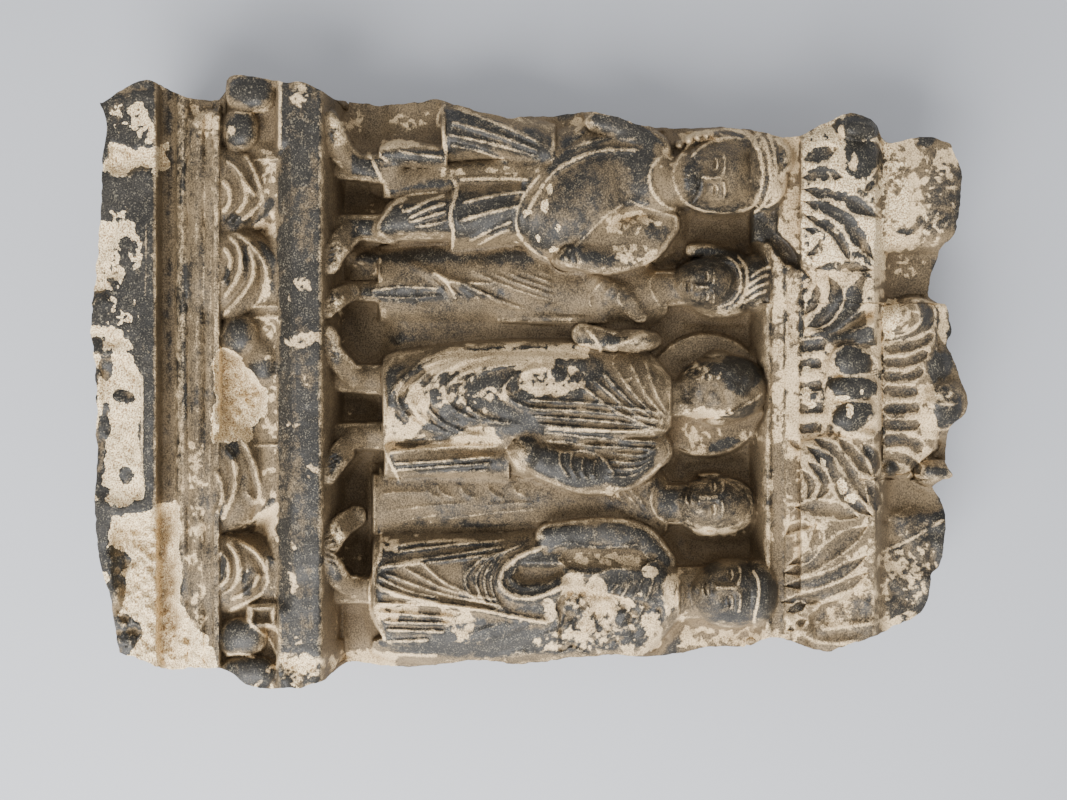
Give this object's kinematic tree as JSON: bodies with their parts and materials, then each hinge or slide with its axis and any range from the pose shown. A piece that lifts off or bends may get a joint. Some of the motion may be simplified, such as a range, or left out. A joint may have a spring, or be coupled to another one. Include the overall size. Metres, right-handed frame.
{
  "type": "stone relief panel",
  "caption": "Upright stone relief slab with standing figures in a niche between a moulded, leaf-carved plinth and a leaf cornice, its edges broken.",
  "frame": {"origin": "middle of the bounding box in X and Y, at the flat back (Z = 0)", "axes": "lying on its back as pictured: +Z out of the carved front, +Y up the figures from plinth to cornice, +X to the viewer's right"},
  "size_m": [0.2558, 0.3606, 0.0725],
  "materials": {
    "schist": "carved grey schist, dark and rubbed on the high places, with buff dust in the lines and pale broken patches"
  },
  "bodies": {
    "root": {"relief_panel": "schist"}
  },
  "joints": []
}
